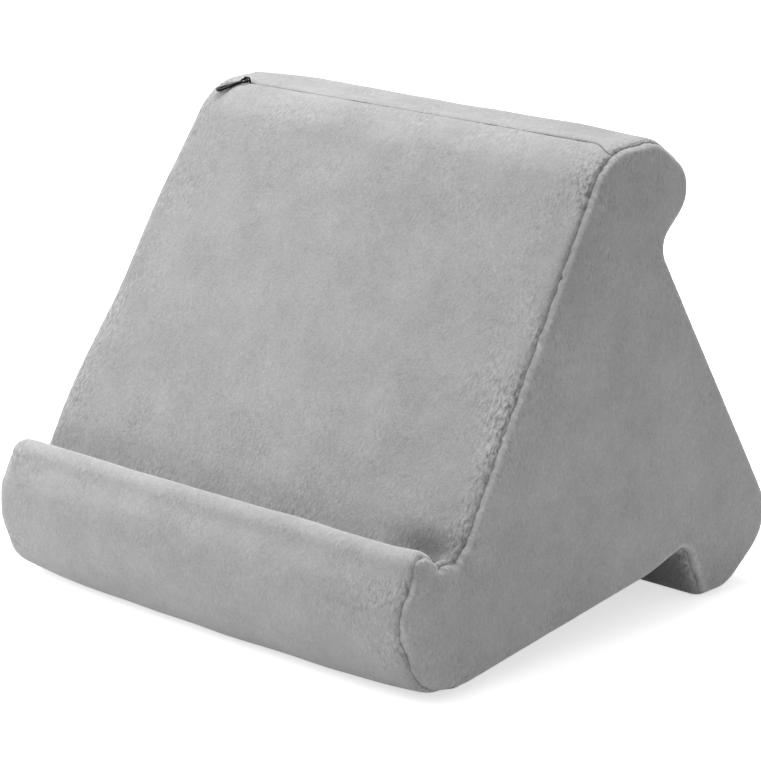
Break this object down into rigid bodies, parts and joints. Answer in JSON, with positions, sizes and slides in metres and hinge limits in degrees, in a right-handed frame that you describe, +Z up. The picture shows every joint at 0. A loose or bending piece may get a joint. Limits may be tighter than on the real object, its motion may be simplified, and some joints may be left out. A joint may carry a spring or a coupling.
{
  "type": "tablet stand",
  "caption": "Wedge-shaped soft tablet stand: a foam core in a zipped plush cover, with a front lip and tray, and lips at the top and rear for other angles.",
  "frame": {"origin": "on the floor, in the middle of the stand's box", "axes": "+X to the right end seen from the front, -Y to the front lip, +Z up"},
  "size_m": [0.3184, 0.3042, 0.2651],
  "materials": {
    "plush": "short-pile plush, light neutral grey, soft mottling",
    "foam": "open-cell polyurethane foam, matt",
    "zip_tape": "woven polyester tape",
    "zip_coil": "black nylon coil",
    "zip_metal": "black lacquered die-cast zinc",
    "thread": "spun polyester sewing thread"
  },
  "bodies": {
    "stand": {"cover_back_panel": "plush", "cover_lip_panel": "plush", "cover_screen_panel": "plush", "cover_side_left": "plush", "cover_side_right": "plush", "cover_top_panel": "plush", "foam_core": "foam", "side_thread_left": "thread", "side_thread_right": "thread", "zipper_bottom_stop": "zip_metal", "zipper_coil_front": "zip_coil", "zipper_coil_rear": "zip_coil", "zipper_tape_front": "zip_tape", "zipper_tape_rear": "zip_tape", "zipper_thread_front": "thread", "zipper_thread_rear": "thread", "zipper_top_stop_front": "zip_metal", "zipper_top_stop_rear": "zip_metal"},
    "slider": {"zipper_slider": "zip_metal"},
    "pull": {"zipper_pull_tab": "zip_metal"}
  },
  "joints": [
    {"name": "zip_slide", "type": "slide", "parent": "stand", "child": "slider", "axis": [1, 0, 0], "range_m": [0, 0.251]},
    {"name": "pull_swing", "type": "hinge", "parent": "slider", "child": "pull", "pos_m": [-0.1256, 0.02607, 0.26342], "axis": [-0.848, 0.5198, 0.1032], "range_deg": [0, 170]}
  ]
}
